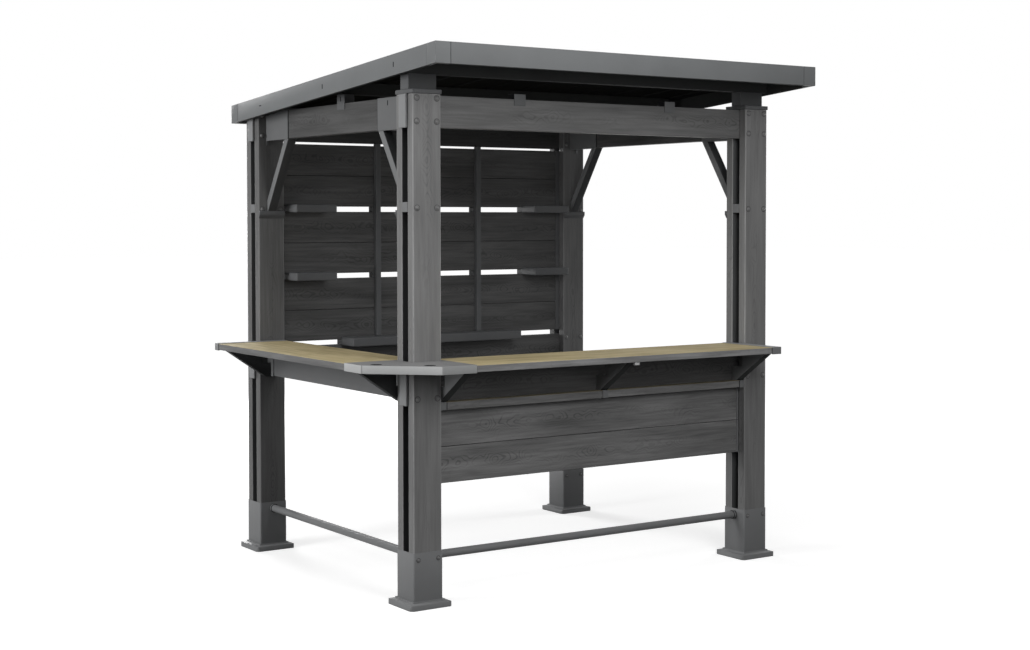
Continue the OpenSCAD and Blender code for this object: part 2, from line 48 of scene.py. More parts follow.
def solidBoxes(node):
    # Corners of each separate solid of a CAD node: points of one triangle take the lowest label
    # among them, over and over, until every solid carries one label
    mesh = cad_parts[node].data
    mesh.calc_loop_triangles()
    co = np.empty(len(mesh.vertices) * 3, np.float32)
    mesh.vertices.foreach_get("co", co)
    tri = np.empty(len(mesh.loop_triangles) * 3, np.int32)
    mesh.loop_triangles.foreach_get("vertices", tri)
    points, which = np.unique(np.round(co.reshape(-1, 3), 5), axis=0, return_inverse=True)
    tri = which.ravel()[tri].reshape(-1, 3)
    label = np.arange(len(points))
    while True:
        low = label.copy()
        np.minimum.at(low, tri.ravel(), np.repeat(label[tri].min(1), 3))
        if (low == label).all():
            break
        label = low[low]
    boxes = [(points[label == k].min(0).astype(float), points[label == k].max(0).astype(float))
             for k in np.unique(label)]
    return sorted(boxes, key=lambda box: tuple(np.round(box[0][[2, 1, 0]], 3)))


def roundRect(width, height, radius, steps):
    # Four quarter circles, anticlockwise from the lower right corner, each set in by the radius
    quarter = np.arange(4)[:, None]
    angle = (quarter - 1 + np.linspace(0, 1, steps + 1)) * np.pi / 2
    sideways = np.where((quarter == 0) | (quarter == 1), 1, -1) * (width / 2 - radius)
    upward = np.where((quarter == 1) | (quarter == 2), 1, -1) * (height / 2 - radius)
    return np.stack([sideways + radius * np.cos(angle), upward + radius * np.sin(angle)], -1).reshape(-1, 2)


def shapeFromRings(rings, uvs, capUvs):
    # Neighbouring rings are joined by one face for each pair of points, and one face closes each end
    count, points = rings.shape[:2]
    i, j = np.meshgrid(np.arange(count - 1), np.arange(points), indexing="ij")
    here, there = i * points + j, i * points + (j + 1) % points
    quads = np.stack([here, there, there + points, here + points], -1).reshape(-1, 4)
    ends = np.arange(points)
    faces = quads.tolist() + [ends[::-1].tolist(), (ends + (count - 1) * points).tolist()]
    loopUvs = np.concatenate([uvs.reshape(-1, 2), capUvs[::-1], capUvs])
    return rings.reshape(-1, 3), faces, loopUvs


apart = {"faces": 1.37, "boards": 7.31, "ends": 0.6}  # metres along the pattern, so that no two look alike


def board(lo, hi, axis, edge=0.003, seed=0, steps=3):
    # A rounded rectangle carried along the axis; at both ends it draws in over a quarter circle.
    # The uv is in metres: u along the board, v across each face from its middle line.
    a, b = (axis + 1) % 3, (axis + 2) % 3
    lo, hi = np.array(lo, float), np.array(hi, float)
    size, middle = hi - lo, (lo + hi) / 2
    edge = min(edge, size.min() * 0.45)  # at most nearly half of the thinnest side
    turn = np.linspace(0, np.pi / 2, steps + 1)
    inset, along = edge * (1 - np.sin(turn)), edge * (1 - np.cos(turn))
    insets = np.concatenate([inset, inset[::-1]])
    places = np.concatenate([lo[axis] + along, hi[axis] - along[::-1]])
    flat = np.stack([roundRect(size[a] - 2 * n, size[b] - 2 * n, max(edge - n, 0.0002), steps)
                     for n in insets])
    rings = np.empty((len(insets), flat.shape[1], 3))
    rings[..., a] = flat[..., 0] + middle[a]
    rings[..., b] = flat[..., 1] + middle[b]
    rings[..., axis] = places[:, None]
    column = np.arange(flat.shape[1])
    quarter, step = np.divmod(column, steps + 1)
    side = np.where(step < steps / 2, quarter - 1, quarter) % 4
    across = np.stack([flat[..., 1], -flat[..., 0], -flat[..., 1], flat[..., 0]], -1)

    def corner(ring, point):
        v = across[ring[:, None], point[None, :], side[None, :]]
        u = places[ring][:, None] + apart["faces"] * side[None, :] + apart["boards"] * seed
        return np.stack([np.broadcast_to(u, v.shape), v], -1)

    first, second = np.arange(len(insets) - 1), np.arange(1, len(insets))
    following = (column + 1) % len(column)
    uvs = np.stack([corner(first, column), corner(first, following),
                    corner(second, following), corner(second, column)], 2)
    return shapeFromRings(rings, uvs, flat[0] + [apart["boards"] * seed + apart["ends"], 0])


def turned(profile, centre, axis, sign, points=20):
    # A profile of (radius, height) turned once round the axis; the height grows towards the sign
    a, b = (axis + 1) % 3, (axis + 2) % 3
    profile = np.array(profile, float)
    angle = np.linspace(0, 2 * np.pi, points, endpoint=False) * sign
    rings = np.empty((len(profile), points, 3))
    rings[..., a] = centre[a] + profile[:, :1] * np.cos(angle)
    rings[..., b] = centre[b] + profile[:, :1] * np.sin(angle)
    rings[..., axis] = centre[axis] + profile[:, 1:] * sign
    uvs = np.repeat(np.stack([rings[:-1, :, axis], rings[:-1, :, a]], -1)[:, :, None], 4, 2)
    return shapeFromRings(rings, uvs, np.stack([rings[0, :, a], rings[0, :, b]], -1))


def finishPiece(piece, material, nodes):
    piece.data.materials.clear()
    piece.data.materials.append(material)
    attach(piece, "root")
    if nodes:
        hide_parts(*nodes)
    return piece


def makePiece(name, shapes, material, slot, *nodes):
    # Closed shapes in one mesh; a point's normal is the mean of its faces' normals by area,
    # so flats stay flat and only the rounded edges turn
    points, faces, uvs, start = [], [], [], 0
    for shapePoints, shapeFaces, shapeUvs in shapes:
        points.append(shapePoints)
        faces += [[n + start for n in face] for face in shapeFaces]
        uvs.append(shapeUvs)
        start += len(shapePoints)
    mesh = bpy.data.meshes.new(name)
    mesh.from_pydata(np.concatenate(points), [], faces)
    mesh.uv_layers.new(name="board").data.foreach_set("uv", np.concatenate(uvs).astype(np.float32).ravel())
    mesh.shade_smooth()
    normal = np.empty(len(mesh.polygons) * 3, np.float32)
    area = np.empty(len(mesh.polygons), np.float32)
    total = np.empty(len(mesh.polygons), np.int32)
    corner = np.empty(len(mesh.loops), np.int32)
    mesh.polygons.foreach_get("normal", normal)
    mesh.polygons.foreach_get("area", area)
    mesh.polygons.foreach_get("loop_total", total)
    mesh.loops.foreach_get("vertex_index", corner)
    push = np.repeat(normal.reshape(-1, 3) * area[:, None], total, axis=0)
    mean = np.zeros((len(mesh.vertices), 3))
    np.add.at(mean, corner, push)
    mean /= np.maximum(np.linalg.norm(mean, axis=1, keepdims=True), 1e-12)
    rounded = np.abs(normal.reshape(-1, 3)).max(1) < 0.999  # a face that lies square to no axis is on an edge
    # The edge attribute marks the faces on rounded edges, where the grained steel paints a highlight
    mesh.attributes.new("edge", "FLOAT", "FACE").data.foreach_set("value", rounded.astype(np.float32))
    mesh.normals_split_custom_set_from_vertices(mean)
    piece = bpy.data.objects.new(name, mesh)
    bpy.context.scene.collection.objects.link(piece)
    return finishPiece(piece, material, nodes)


def otherMaterials(piece, others, chosen):
    # The test gives every face its place in the piece's list of materials, from its normal and middle
    normal, middle = np.empty((2, len(piece.data.polygons) * 3), np.float32)
    piece.data.polygons.foreach_get("normal", normal)
    piece.data.polygons.foreach_get("center", middle)
    for other in others:
        piece.data.materials.append(other)
    picked = chosen(normal.reshape(-1, 3), middle.reshape(-1, 3)).astype(np.int32)
    piece.data.polygons.foreach_set("material_index", picked)


rounding = {"mergeWithin": 0.00002, "flatDegrees": 1, "edgeDegrees": 25, "edgeSteps": 3, "uprightSteps": 6,
            "uprightWithin": 0.001}


def roundedCopy(name, node, width, material, slot, others=(), chosen=None, upright=0.0):
    # A CAD node's triangles merged into whole faces, with its edges rounded over the width, and its
    # upright edges first rounded over a width of their own, in the last material, where one is given
    mesh = bpy.data.meshes.new(name)
    work = bmesh.new()
    work.from_mesh(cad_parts[node].data)
    bmesh.ops.remove_doubles(work, verts=work.verts, dist=rounding["mergeWithin"])
    bmesh.ops.dissolve_limit(work, angle_limit=math.radians(rounding["flatDegrees"]),
                             verts=work.verts, edges=work.edges)
    if upright:
        weight = work.edges.layers.float.new("bevel_weight_edge")
        for side in work.edges:  # 1 on an edge that stands upright, 0 on the others
            start, end = (corner.co for corner in side.verts)
            side[weight] = float(math.hypot(start.x - end.x, start.y - end.y) < rounding["uprightWithin"])
    work.to_mesh(mesh)
    work.free()
    mesh.shade_smooth()
    piece = bpy.data.objects.new(name, mesh)
    bpy.context.scene.collection.objects.link(piece)
    if upright:
        turn = piece.modifiers.new("uprights", "BEVEL")
        turn.width = upright
        turn.segments = rounding["uprightSteps"]
        turn.limit_method = "WEIGHT"
        turn.material = len(others)
    bevel = piece.modifiers.new("edges", "BEVEL")
    bevel.width = width
    bevel.segments = rounding["edgeSteps"]
    bevel.limit_method = "ANGLE"
    bevel.angle_limit = math.radians(rounding["edgeDegrees"])
    bevel.harden_normals = True
    finishPiece(piece, material, [node])
    if others:
        otherMaterials(piece, others, chosen)
    return piece


def linear(hexColour):  # sRGB hex to the linear values that a shader takes
    part = np.array([int(hexColour[n:n + 2], 16) for n in (1, 3, 5)]) / 255
    part = np.where(part <= 0.04045, part / 12.92, ((part + 0.055) / 1.055) ** 2.4)
    return (*part.tolist(), 1.0)


def addNode(tree, kind, inputs=None, **settings):
    # A node with its settings; an input is a value, another node's first output, or one named socket
    node = tree.nodes.new(kind)
    for key, value in settings.items():
        setattr(node, key, value)
    for socket, value in (inputs or {}).items():
        if isinstance(value, bpy.types.Node):
            tree.links.new(value.outputs[0], node.inputs[socket])
        elif isinstance(value, bpy.types.NodeSocket):
            tree.links.new(value, node.inputs[socket])
        else:
            node.inputs[socket].default_value = value
    return node


def newMaterial(name):
    material = bpy.data.materials.new(name)
    material.use_nodes = True
    material.node_tree.nodes.clear()
    return material, material.node_tree


def stops(ramp, *places):
    # Sets a colour ramp's stops, each a position and an sRGB hex
    elements = ramp.color_ramp.elements
    while len(elements) < len(places):
        elements.new(0.5)
    for element, (position, hexColour) in zip(elements, places):
        element.position = position
        element.color = linear(hexColour)
    return ramp


def grainedSteel(name, look):
    # Galvanised steel sheet pressed with a wood grain and powder coated: a dull dark grey skin whose
    # shallow arches and fibres along the board catch the light.
    # Surface: the distance from the board's middle line and a depth under it, plus a slow wander along
    # the board, is cut into equal rings that fade towards the board's edges and in patches; stretched
    # noise adds fibres and a wider one clouds; all lie in the uv, in metres. The edge attribute, 1 on
    # rounded edges, lifts the tone there: a painted highlight along the rounded edges.
    material, tree = newMaterial(name)
    uv = addNode(tree, "ShaderNodeUVMap", uv_map="board")
    split = addNode(tree, "ShaderNodeSeparateXYZ", {0: uv})
    slow = addNode(tree, "ShaderNodeMapping", {"Vector": uv, "Scale": (look["wanderPerMetre"], 6.0, 1.0)})
    wander = addNode(tree, "ShaderNodeTexNoise", {"Vector": slow, "Scale": 1.0, "Detail": 2.0,
                                                  "Roughness": 0.45})
    square = addNode(tree, "ShaderNodeMath", {0: split.outputs[1], 1: split.outputs[1]}, operation="MULTIPLY")
    deep = addNode(tree, "ShaderNodeMath", {0: square, 1: look["depth"] ** 2}, operation="ADD")
    away = addNode(tree, "ShaderNodeMath", {0: deep}, operation="SQRT")
    drift = addNode(tree, "ShaderNodeMath", {0: wander, 1: look["wander"], 2: away}, operation="MULTIPLY_ADD")
    # The rings are about 6 mm apart on the real sheet and are drawn at two to three times that to show
    phase = addNode(tree, "ShaderNodeMath", {0: drift, 1: 2 * math.pi / look["ringPitch"]},
                    operation="MULTIPLY")
    ring = addNode(tree, "ShaderNodeMath", {0: phase}, operation="SINE")
    soft = addNode(tree, "ShaderNodeMapRange", {"Value": ring, "From Min": 0.3, "From Max": 1.0,
                                                "To Min": 0.0, "To Max": 1.0},
                   interpolation_type="SMOOTHSTEP")
    heart = addNode(tree, "ShaderNodeMapRange", {"Value": away, "From Min": look["heart"],
                                                 "From Max": 2 * look["heart"], "To Min": 1.0, "To Max": 0.25},
                    interpolation_type="SMOOTHSTEP")
    patch = addNode(tree, "ShaderNodeMapping", {"Vector": uv, "Scale": (2.3, 7.0, 1.0),
                                                "Location": (3.1, 0.4, 0.0)})
    patchNoise = addNode(tree, "ShaderNodeTexNoise", {"Vector": patch, "Scale": 1.0, "Detail": 1.0})
    where = addNode(tree, "ShaderNodeMapRange", {"Value": patchNoise, "From Min": 0.4, "From Max": 0.6,
                                                 "To Min": 0.15, "To Max": 1.0},
                    interpolation_type="SMOOTHSTEP")
    masked = addNode(tree, "ShaderNodeMath", {0: soft, 1: where}, operation="MULTIPLY")
    arches = addNode(tree, "ShaderNodeMath", {0: masked, 1: heart}, operation="MULTIPLY")
    # The fibres are about 1 mm wide on the real sheet and are drawn at 6 to 15 mm so that they show
    long = addNode(tree, "ShaderNodeMapping", {"Vector": uv, "Scale": (3.5, look["fibresPerMetre"], 1.0)})
    fibre = addNode(tree, "ShaderNodeTexNoise", {"Vector": long, "Scale": 1.0, "Detail": 3.0,
                                                 "Roughness": 0.65, "Distortion": 0.3})
    broad = addNode(tree, "ShaderNodeMapping", {"Vector": uv, "Scale": (2.0, 13.0, 1.0),
                                                "Location": (0.7, 5.2, 0.0)})
    cloud = addNode(tree, "ShaderNodeTexNoise", {"Vector": broad, "Scale": 1.0, "Detail": 3.0})
    blend = addNode(tree, "ShaderNodeMix", {0: look["cloudShare"], 2: fibre, 3: cloud}, data_type="FLOAT")
    mix = addNode(tree, "ShaderNodeMath", {0: arches, 1: -look["archDepth"], 2: blend},
                  operation="MULTIPLY_ADD")
    # Painted highlight: the tone is lifted on rounded edges
    edge = addNode(tree, "ShaderNodeAttribute", attribute_name="edge")
    edgeHighlighted = addNode(tree, "ShaderNodeMath", {0: edge.outputs["Fac"], 1: look["edgeHighlight"], 2: mix},
                     operation="MULTIPLY_ADD")
    tone = stops(addNode(tree, "ShaderNodeValToRGB", {0: edgeHighlighted}), *look["tones"])
    place = addNode(tree, "ShaderNodeTexCoord")
    peel = addNode(tree, "ShaderNodeTexNoise", {"Vector": place.outputs["Object"], "Scale": 420.0,
                                                "Detail": 1.0})
    height = addNode(tree, "ShaderNodeMath", {0: peel, 1: 0.12, 2: mix}, operation="MULTIPLY_ADD")
    bump = addNode(tree, "ShaderNodeBump", {"Height": height, "Strength": look["bump"], "Distance": 0.0015})
    rough = addNode(tree, "ShaderNodeMapRange", {"Value": fibre, "From Min": 0.3, "From Max": 0.7,
                                                 "To Min": look["roughness"] - 0.05,
                                                 "To Max": look["roughness"] + 0.06})
    skin = addNode(tree, "ShaderNodeBsdfPrincipled", {"Base Color": tone, "Roughness": rough, "Normal": bump,
                                                      "IOR": 1.48, "Specular IOR Level": look["shine"]})
    addNode(tree, "ShaderNodeOutputMaterial", {"Surface": skin})
    return material


def coatedSteel(name, look):
    # Folded steel sheet with a plain powder coat: even and dull, with a fine orange peel and faint
    # clouds where the powder fell thicker.
    # Surface: three noises on the object's own metres, one slow for the clouds, one for the speckle
    # of the powder, and one fine for the peel.
    material, tree = newMaterial(name)
    place = addNode(tree, "ShaderNodeTexCoord")
    clouds = addNode(tree, "ShaderNodeTexNoise", {"Vector": place.outputs["Object"], "Scale": 5.0,
                                                  "Detail": 3.0})
    # The powder's grain is about 0.3 mm and is drawn at 4 mm so that it shows
    speckle = addNode(tree, "ShaderNodeTexNoise", {"Vector": place.outputs["Object"], "Scale": 240.0,
                                                   "Detail": 1.0})
    mix = addNode(tree, "ShaderNodeMath", {0: speckle, 1: look["speckle"], 2: clouds},
                  operation="MULTIPLY_ADD")
    tone = stops(addNode(tree, "ShaderNodeValToRGB", {0: mix}), *look["tones"])
    peel = addNode(tree, "ShaderNodeTexNoise", {"Vector": place.outputs["Object"], "Scale": 600.0,
                                                "Detail": 2.0})
    bump = addNode(tree, "ShaderNodeBump", {"Height": peel, "Strength": 0.25, "Distance": 0.0003})
    rough = addNode(tree, "ShaderNodeMapRange", {"Value": clouds, "From Min": 0.3, "From Max": 0.7,
                                                 "To Min": look["roughness"] - 0.04,
                                                 "To Max": look["roughness"] + 0.05})
    skin = addNode(tree, "ShaderNodeBsdfPrincipled", {"Base Color": tone, "Roughness": rough, "Normal": bump,
                                                      "IOR": 1.48, "Specular IOR Level": look["shine"]})
    addNode(tree, "ShaderNodeOutputMaterial", {"Surface": skin})
    return material


def woodLookBoard(name, look):
    # Sheet printed as bleached oak boards under a dull lacquer: warm tan with grey brown streaks along
    # the board and a few darker patches.
    # Surface: noise stretched along u gives the streaks, a slower one the patches; in the uv, in metres.
    material, tree = newMaterial(name)
    uv = addNode(tree, "ShaderNodeUVMap", uv_map="board")
    long = addNode(tree, "ShaderNodeMapping", {"Vector": uv, "Scale": (3.0, 46.0, 1.0)})
    streak = addNode(tree, "ShaderNodeTexNoise", {"Vector": long, "Scale": 1.0, "Detail": 4.0,
                                                  "Roughness": 0.62, "Distortion": 0.4})
    wide = addNode(tree, "ShaderNodeMapping", {"Vector": uv, "Scale": (4.0, 11.0, 1.0),
                                               "Location": (1.7, 2.9, 0.0)})
    patch = addNode(tree, "ShaderNodeTexNoise", {"Vector": wide, "Scale": 1.0, "Detail": 2.0})
    mix = addNode(tree, "ShaderNodeMath", {0: patch, 1: 0.7, 2: streak}, operation="MULTIPLY_ADD")
    tone = stops(addNode(tree, "ShaderNodeValToRGB", {0: mix}), *look["tones"])
    bump = addNode(tree, "ShaderNodeBump", {"Height": streak, "Strength": 0.2, "Distance": 0.0006})
    skin = addNode(tree, "ShaderNodeBsdfPrincipled", {"Base Color": tone, "Roughness": look["roughness"],
                                                      "Normal": bump, "IOR": 1.46,
                                                      "Specular IOR Level": look["shine"]})
    addNode(tree, "ShaderNodeOutputMaterial", {"Surface": skin})
    return material


# Looks: tones are the ramp's stops, from the dark of the pattern to its light, and lengths are in metres
# The posts' palest stop is reached only on rounded edges: a painted highlight
postLook = {"tones": [(0.28, "#646464"), (0.47, "#737373"), (0.68, "#808080"), (1.0, "#a6a6a6")],
            "roughness": 0.5, "shine": 0.16, "ringPitch": 0.012, "depth": 0.008, "wander": 0.17,
            "wanderPerMetre": 4.5, "heart": 0.017, "fibresPerMetre": 75.0, "cloudShare": 0.55,
            "archDepth": 0.13, "edgeHighlight": 0.22, "bump": 0.4}
# Darker copy of the post steel for the back posts: painted shade
backPostShadeLook = dict(postLook, tones=[(0.28, "#4e4e4e"), (0.47, "#5e5e5e"), (0.68, "#6b6b6b"), (1.0, "#8a8a8a")])
boardLook = dict(postLook, tones=[(0.28, "#515151"), (0.47, "#626262"), (0.68, "#727272")], shine=0.12,
                 edgeHighlight=0.0, ringPitch=0.015, wander=0.2, wanderPerMetre=7.5, heart=0.02, archDepth=0.14)
# Lighter copy of the board steel for the lower front boards: painted light
lowerBoardLitLook = dict(boardLook, tones=[(0.3, "#565656"), (0.47, "#6d6d6d"), (0.64, "#848484")])
# Darker copy of the board steel for the wall boards and the front apron: painted shade
innerBoardShadeLook = dict(boardLook, tones=[(0.3, "#3f3f3f"), (0.47, "#505050"), (0.64, "#616161")])
# Darker copy of the board steel for the side beams: painted shade
sideBeamShadeLook = dict(boardLook, tones=[(0.3, "#393939"), (0.47, "#484848"), (0.64, "#585858")])
# Darker copy of the board steel for the back beam: painted shade
rearBeamShadeLook = dict(boardLook, tones=[(0.28, "#2f2f2f"), (0.47, "#3a3a3a"), (0.68, "#464646")])
counterEdgeLook = dict(postLook, tones=[(0.34, "#575757"), (0.5, "#747474"), (0.62, "#888888")],
                       fibresPerMetre=60.0, archDepth=0.03, edgeHighlight=0.0)
# Darker copy of the counter edge steel for the side counter: painted shade
sideEdgeShadeLook = dict(counterEdgeLook, tones=[(0.34, "#4c4c4c"), (0.5, "#646464"), (0.62, "#767676")])
steelLook = {"tones": [(0.3, "#6d6e6f"), (0.7, "#747576")], "roughness": 0.5, "shine": 0.18, "speckle": 0.12}
# Lighter copy of the grey steel for lit sides of caps, counter ends and front gusset webs: painted light
capLitLook = dict(steelLook, tones=[(0.3, "#7d7e7f"), (0.7, "#848586")], shine=0.25)
# Darker copy of the grey steel for clips, post caps, risers, trims, brackets and shelves under the roof:
# painted shade
dimShadeLook = dict(steelLook, tones=[(0.3, "#57585a"), (0.7, "#5f6061")], shine=0.1)
# A paler steel for the counter corner and the counter joint clip; its lightness is partly the pieces' own and
# partly a painted highlight
paleHighlightLook = {"tones": [(0.3, "#9d9e9e"), (0.8, "#a9aaaa")], "roughness": 0.42, "shine": 0.5, "speckle": 0.35}
# Darker copies for the counter corner's top, and for its front and upright rounds: painted shade
cornerTopShadeLook = dict(paleHighlightLook, tones=[(0.3, "#767676"), (0.8, "#818181")], roughness=0.6, shine=0.1)
cornerRimShadeLook = dict(paleHighlightLook, tones=[(0.3, "#868787"), (0.8, "#919292")], roughness=0.6, shine=0.1)
fasciaLook = dict(steelLook, tones=[(0.3, "#6c6e6f"), (0.7, "#727475")], shine=0.12)
roofLook = dict(steelLook, tones=[(0.3, "#2b2c2d"), (0.7, "#323334")], roughness=0.6, shine=0.08,
                speckle=0.05)
# Darker copy of the grey steel for the beam brackets and the side apron: painted shade
plateShadeLook = dict(steelLook, tones=[(0.3, "#626364"), (0.7, "#6a6b6c")], shine=0.14)
# Lighter copy of the grey steel for the boots, foot rails and collars: painted light near the floor
footLitLook = dict(steelLook, tones=[(0.3, "#747576"), (0.7, "#7b7c7d")])
# Darker copy of the grey steel for faces and parts in shade: painted shade
paintedShadeLook = dict(steelLook, tones=[(0.3, "#48494a"), (0.7, "#505152")], roughness=0.7, shine=0.05)
# Near black copy of the grey steel for faces in deep shade under the roof and the counters: painted shade
deepShadeLook = dict(steelLook, tones=[(0.3, "#343535"), (0.7, "#3b3c3c")], roughness=0.7, shine=0.04)
boltLook = dict(steelLook, tones=[(0.3, "#646464"), (0.7, "#6b6b6b")], roughness=0.42, shine=0.3)
# Darker washer ring round each bolt head: painted shade
washerShadeLook = dict(steelLook, tones=[(0.3, "#505050"), (0.7, "#585858")], shine=0.1)
# Near black, for dark joints, and as painted shade in screw slots, counter recesses and on the clips' sides
darkJointShadeLook = dict(steelLook, tones=[(0.3, "#1d1e1f"), (0.7, "#242526")], roughness=0.7, shine=0.05)
# Darker, duller copy of the roof steel for its underside: painted shade
undersideShadeLook = dict(steelLook, tones=[(0.3, "#292a2b"), (0.7, "#303132")], roughness=0.9, shine=0.0)
tanLook = {"tones": [(0.5, "#8f8366"), (0.8, "#afa17c"), (1.0, "#c0b28d")], "roughness": 0.6, "shine": 0.07}
# Darker, greyer copy of the oak print for the ledge under the counter: painted shade
ledgeShadeTanLook = dict(tanLook, tones=[(0.5, "#6d675a"), (0.8, "#817a68"), (1.0, "#8f8874")])

pressedPost = grainedSteel("pressedGrainSteelPost", postLook)
pressedBackPostShade = grainedSteel("pressedGrainSteelBackPostPaintedShade", backPostShadeLook)
pressedBoard = grainedSteel("pressedGrainSteelBoard", boardLook)
pressedLowerLit = grainedSteel("pressedGrainSteelLowerPaintedLight", lowerBoardLitLook)
pressedInnerShade = grainedSteel("pressedGrainSteelInnerPaintedShade", innerBoardShadeLook)
pressedSideBeamShade = grainedSteel("pressedGrainSteelSideBeamPaintedShade", sideBeamShadeLook)
pressedRearShade = grainedSteel("pressedGrainSteelRearPaintedShade", rearBeamShadeLook)
pressedEdge = grainedSteel("pressedGrainSteelEdge", counterEdgeLook)
pressedSideEdgeShade = grainedSteel("pressedGrainSteelSideEdgePaintedShade", sideEdgeShadeLook)
greySteel = coatedSteel("powderCoatedSteelGrey", steelLook)
capLitSteel = coatedSteel("powderCoatedSteelCapPaintedLight", capLitLook)
dimShadeSteel = coatedSteel("powderCoatedSteelDimPaintedShade", dimShadeLook)
paleHighlightSteel = coatedSteel("powderCoatedSteelPaleAndPaintedHighlight", paleHighlightLook)
fasciaSteel = coatedSteel("powderCoatedSteelFascia", fasciaLook)
roofSteel = coatedSteel("powderCoatedSteelRoof", roofLook)
plateShadeSteel = coatedSteel("powderCoatedSteelPlatePaintedShade", plateShadeLook)
footLitSteel = coatedSteel("powderCoatedSteelFootPaintedLight", footLitLook)
paintedShadeSteel = coatedSteel("powderCoatedSteelPaintedShade", paintedShadeLook)
deepShadeSteel = coatedSteel("powderCoatedSteelDeepPaintedShade", deepShadeLook)
cornerRimShadeSteel = coatedSteel("powderCoatedSteelCornerRimPaintedShade", cornerRimShadeLook)
cornerTopShadeSteel = coatedSteel("powderCoatedSteelCornerTopPaintedShade", cornerTopShadeLook)
boltSteel = coatedSteel("coatedSteelBolt", boltLook)
darkJointShadeSteel = coatedSteel("darkJointAndPaintedShadeSteel", darkJointShadeLook)
washerShadeSteel = coatedSteel("powderCoatedSteelWasherPaintedShade", washerShadeLook)
undersideShadeSteel = coatedSteel("roofSteelUndersidePaintedShade", undersideShadeLook)
oakPrint = woodLookBoard("bleachedOakPrintBoard", tanLook)
ledgeShadeOakPrint = woodLookBoard("bleachedOakPrintLedgePaintedShade", ledgeShadeTanLook)
print("stage: materials made")


def frontSide(normal, middle):  # looks to the front
    return normal[:, 1] < -0.6


def topOrFrontSide(normal, middle):  # 1 for the top, 2 for the front
    return (normal[:, 2] > 0.8) + 2 * (normal[:, 1] < -0.8)


def underSide(normal, middle):  # looks down
    return normal[:, 2] < -0.5


def slopeSide(normal, middle):  # slopes down towards the front
    return (normal[:, 1] < -0.3) & (normal[:, 2] < -0.3)


def leftSlopeSide(normal, middle):  # slopes down towards the left or right
    return (np.abs(normal[:, 0]) > 0.3) & (normal[:, 2] < -0.3)


def innerSide(normal, middle):  # looks towards the middle of the roof, or down
    return ((normal[:, :2] * (middle[:, :2] - [0.1, 0.0])).sum(1) < 0) | (normal[:, 2] < -0.5)


def frontClipSide(normal, middle):  # looks to the left or right, on the front beam's clips
    return (np.abs(normal[:, 0]) > 0.8) & (middle[:, 1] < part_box("front_beam")[1][1] + 0.005)


plank = {"edge": 0.005, "slot": 0.03}
postNodes = ("front_left_post", "front_right_post", "back_left_post", "back_right_post")
for count, node in enumerate(postNodes):
    middleY = np.mean(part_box(node), axis=0)[1]

    def slotSide(normal, middle):  # looks to the front or back, inside the gap between the planks
        return (np.abs(middle[:, 1] - middleY) < plank["slot"]) & (np.abs(normal[:, 1]) > 0.9)

    # The back posts take the darker copy of the grained steel: painted shade
    shapes = [board(lo, hi, 2, plank["edge"], seed=3 * count + k)
              for k, (lo, hi) in enumerate(solidBoxes(node))]
    planks = makePiece(node + "_planks", shapes, pressedPost if node.startswith("front") else pressedBackPostShade,
                       "grained_steel", node)
    # The plank faces inside the gap take the darker shade steel: painted shade in the gap
    otherMaterials(planks, [paintedShadeSteel], slotSide)

boards = {  # CAD node: material, slot, axis it runs along, rounding of its edges, other material of its fronts
    "post_spacers": (greySteel, "smooth_steel", 0, 0.002),
    # The risers' fronts take the darker shade steel: painted shade
    "roof_risers": (dimShadeSteel, "smooth_steel", 2, 0.003, paintedShadeSteel),
    "front_beam": (pressedBoard, "grained_steel", 0, 0.003),
    # The back beam takes the darkest copy: painted shade under the roof
    "back_beam": (pressedRearShade, "grained_steel", 0, 0.003),
    # The side beams take the darker copy: painted shade under the roof
    "side_beams": (pressedSideBeamShade, "grained_steel", 1, 0.003),
    # The caps' sides take the lighter copy and their fronts the plain grey: painted light on the sides
    "board_end_caps": (capLitSteel, "smooth_steel", 2, 0.004, greySteel),
    # The front apron takes the darker copy: painted shade under the counter
    "front_apron": (pressedInnerShade, "grained_steel", 0, 0.003),
    "side_apron": (plateShadeSteel, "smooth_steel", 1, 0.003),
    "ledge_ends": (greySteel, "smooth_steel", 0, 0.002),
    # The lower front boards take the lighter copy: painted light
    "lower_front_boards": (pressedLowerLit, "grained_steel", 0, 0.003),
    "lower_board_trims": (greySteel, "smooth_steel", 2, 0.0015),
    # The wall boards take the darker copy: painted shade under the roof
    "wall_boards": (pressedInnerShade, "grained_steel", 0, 0.003),
    "wall_board_trims": (dimShadeSteel, "smooth_steel", 2, 0.0015),
    # The battens and their ties take the darker shade steel, the battens' fronts a lighter grey: painted shade
    "wall_battens": (paintedShadeSteel, "smooth_steel", 2, 0.003, dimShadeSteel),
    "batten_ties": (paintedShadeSteel, "smooth_steel", 0, 0.002),
    "counter_joint_clip": (paleHighlightSteel, "smooth_steel", 0, 0.002),
}
for count, (node, (material, slot, axis, edge, *fronts)) in enumerate(boards.items()):
    shapes = [board(lo, hi, axis, edge, seed=20 + 9 * count + k)
              for k, (lo, hi) in enumerate(solidBoxes(node))]
    sheets = makePiece(node + "_sheet", shapes, material, slot, node)
    if fronts:
        otherMaterials(sheets, fronts, frontSide)

# Strips that close the hairline gaps between neighbouring boards
tongue = {"lap": 0.005, "inset": 0.012, "widest": 0.004, "short": 0.01, "edge": 0.001}
shapes = []
for node in ("wall_boards", "lower_front_boards"):
    solids = solidBoxes(node)
    for (lo, hi), (nextLo, _) in zip(solids, solids[1:]):
        if nextLo[2] - hi[2] < tongue["widest"]:
            shapes.append(board((lo[0] + tongue["short"], lo[1] + tongue["inset"], hi[2] - tongue["lap"]),
                                (hi[0] - tongue["short"], hi[1] - tongue["inset"], nextLo[2] + tongue["lap"]),
                                0, tongue["edge"]))
makePiece("board_tongues", shapes, darkJointShadeSteel, "smooth_steel")

